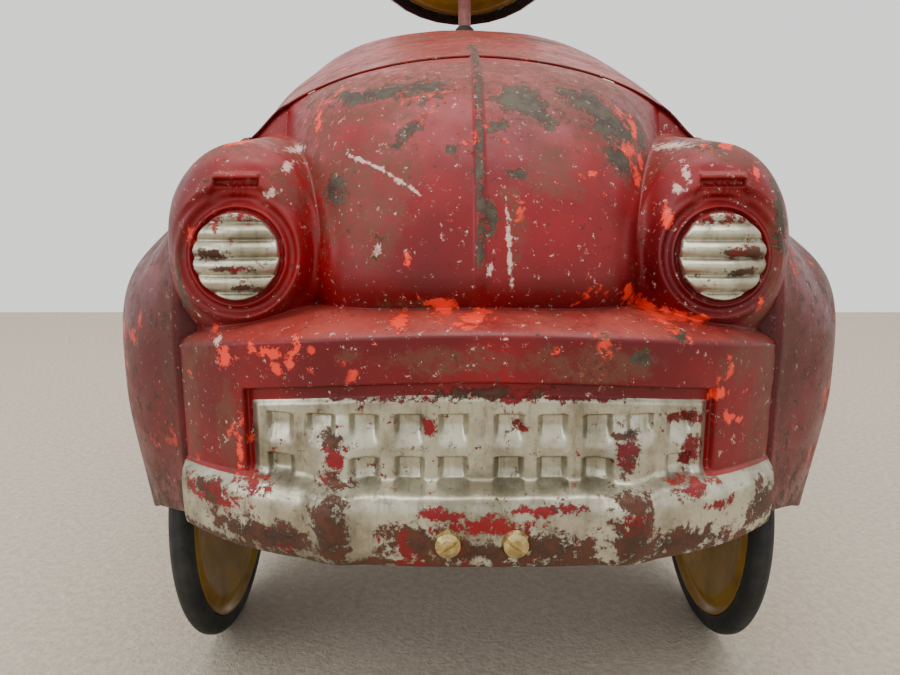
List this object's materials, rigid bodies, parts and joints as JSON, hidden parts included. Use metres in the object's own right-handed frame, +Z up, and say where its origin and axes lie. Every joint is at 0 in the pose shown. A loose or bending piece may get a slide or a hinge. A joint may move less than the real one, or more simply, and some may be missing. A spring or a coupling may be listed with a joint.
{
  "type": "pedal car",
  "caption": "Child-size pressed-steel pedal car with rounded nose and lamp pods, tapering hood, open cockpit, disc wheels, steered front axle and pedal-driven crank axle.",
  "frame": {"origin": "on the floor under the middle of the bounding box", "axes": "+Z up, +Y from the nose towards the tail, +X to the right as seen from in front of the car (the nodes named right are on that side)"},
  "size_m": [0.408, 0.922, 0.5739],
  "materials": {
    "red_paint": "worn semi-gloss enamel over bare steel",
    "frame_paint": "dull",
    "rubber": "matte",
    "yellow_paint": "semi-gloss",
    "black_rim": "gloss",
    "red_rod_paint": "dull",
    "zinc_yellow": "satin",
    "bright_steel": "satin",
    "bare_steel": "rusty"
  },
  "bodies": {
    "body": {"nose_panel": "red_paint", "hood_panel": "red_paint", "side_panel_left": "red_paint", "side_panel_right": "red_paint", "tail_panel": "red_paint", "seat_panel": "red_paint", "dash_panel": "red_paint", "rail_left": "frame_paint", "rail_right": "frame_paint", "front_crossmember": "frame_paint", "rear_crossmember": "frame_paint", "front_axle_beam": "frame_paint", "steering_bracket": "frame_paint", "cowl_bush": "rubber", "pedal_hanger_rod": "bare_steel", "axle_hanger_left": "frame_paint", "axle_hanger_right": "frame_paint", "nose_screw_left": "zinc_yellow", "nose_screw_right": "zinc_yellow", "nose_nut_left": "bare_steel", "nose_nut_right": "bare_steel"},
    "steering": {"steering_rod": "red_rod_paint", "steering_wheel_rim": "black_rim", "steering_wheel_dish": "yellow_paint", "steering_cap_nut": "bright_steel"},
    "tie_rod": {"tie_rod": "bare_steel"},
    "knuckle_left": {"knuckle_left": "bare_steel"},
    "knuckle_right": {"knuckle_right": "bare_steel"},
    "crank_axle": {"crank_axle": "bare_steel"},
    "pedal_left": {"pedal_arm_left": "frame_paint", "pedal_pad_left": "rubber"},
    "pedal_right": {"pedal_arm_right": "frame_paint", "pedal_pad_right": "rubber"},
    "drive_rod_left": {"drive_rod_left": "bare_steel", "crank_bearing_left": "rubber"},
    "drive_rod_right": {"drive_rod_right": "bare_steel", "crank_bearing_right": "rubber"},
    "wheel_front_left": {"tyre_front_left": "rubber", "wheel_disc_front_left": "yellow_paint", "wheel_hub_front_left": "bare_steel", "hub_cap_front_left": "bright_steel"},
    "wheel_front_right": {"tyre_front_right": "rubber", "wheel_disc_front_right": "yellow_paint", "wheel_hub_front_right": "bare_steel", "hub_cap_front_right": "bright_steel"},
    "wheel_rear_left": {"tyre_rear_left": "rubber", "wheel_disc_rear_left": "yellow_paint", "wheel_hub_rear_left": "bare_steel", "hub_cap_rear_left": "bright_steel"},
    "wheel_rear_right": {"tyre_rear_right": "rubber", "wheel_disc_rear_right": "yellow_paint", "wheel_hub_rear_right": "bare_steel", "hub_cap_rear_right": "bright_steel"}
  },
  "joints": [
    {"name": "steering_turn", "type": "hinge", "parent": "body", "child": "steering", "pos_m": [0, -0.0136, 0.532], "axis": [0, 0.4226, 0.9063], "range_deg": [-36, 36]},
    {"name": "knuckle_left_turn", "type": "hinge", "parent": "body", "child": "knuckle_left", "pos_m": [-0.15, -0.225, 0.11], "axis": [0, 0, 1], "range_deg": [-22, 22]},
    {"name": "knuckle_right_turn", "type": "hinge", "parent": "body", "child": "knuckle_right", "pos_m": [0.15, -0.225, 0.11], "axis": [0, 0, 1], "range_deg": [-22, 22]},
    {"name": "tie_rod_slide", "type": "slide", "parent": "body", "child": "tie_rod", "axis": [-1, 0, 0], "range_m": [-0.01686, 0.01686]},
    {"name": "pedal_left_swing", "type": "hinge", "parent": "body", "child": "pedal_left", "pos_m": [0, -0.1, 0.3], "axis": [1, 0, 0], "range_deg": [0, 24]},
    {"name": "pedal_right_swing", "type": "hinge", "parent": "body", "child": "pedal_right", "pos_m": [0, -0.1, 0.3], "axis": [1, 0, 0], "range_deg": [-24, 0]},
    {"name": "crank_turn", "type": "hinge", "parent": "body", "child": "crank_axle", "pos_m": [0, 0.295, 0.1016], "axis": [1, 0, 0], "range_deg": [0, 180]},
    {"name": "drive_rod_left_turn", "type": "hinge", "parent": "crank_axle", "child": "drive_rod_left", "pos_m": [-0.07, 0.25342, 0.1016], "axis": [1, 0, 0], "range_deg": [-180, 0]},
    {"name": "drive_rod_right_turn", "type": "hinge", "parent": "crank_axle", "child": "drive_rod_right", "pos_m": [0.07, 0.33658, 0.1016], "axis": [1, 0, 0], "range_deg": [-180, 0]},
    {"name": "wheel_front_left_spin", "type": "hinge", "parent": "knuckle_left", "child": "wheel_front_left", "pos_m": [-0.177, -0.225, 0.1016], "axis": [1, 0, 0], "continuous": true},
    {"name": "wheel_front_right_spin", "type": "hinge", "parent": "knuckle_right", "child": "wheel_front_right", "pos_m": [0.177, -0.225, 0.1016], "axis": [1, 0, 0], "continuous": true},
    {"name": "wheel_rear_left_spin", "type": "hinge", "parent": "crank_axle", "child": "wheel_rear_left", "pos_m": [-0.177, 0.295, 0.1016], "axis": [1, 0, 0], "continuous": true},
    {"name": "wheel_rear_right_spin", "type": "hinge", "parent": "crank_axle", "child": "wheel_rear_right", "pos_m": [0.177, 0.295, 0.1016], "axis": [1, 0, 0], "continuous": true}
  ],
  "couplings": [
    {"joint": "knuckle_left_turn", "follows": "steering_turn", "ratio": 0.61111},
    {"joint": "knuckle_right_turn", "follows": "steering_turn", "ratio": 0.61111},
    {"joint": "tie_rod_slide", "follows": "steering_turn", "m_per_rad": 0.026829},
    {"joint": "pedal_right_swing", "follows": "pedal_left_swing", "ratio": -1},
    {"joint": "crank_turn", "follows": "pedal_left_swing", "ratio": 7.5},
    {"joint": "drive_rod_left_turn", "follows": "pedal_left_swing", "ratio": -7.5},
    {"joint": "drive_rod_right_turn", "follows": "pedal_left_swing", "ratio": -7.5}
  ]
}
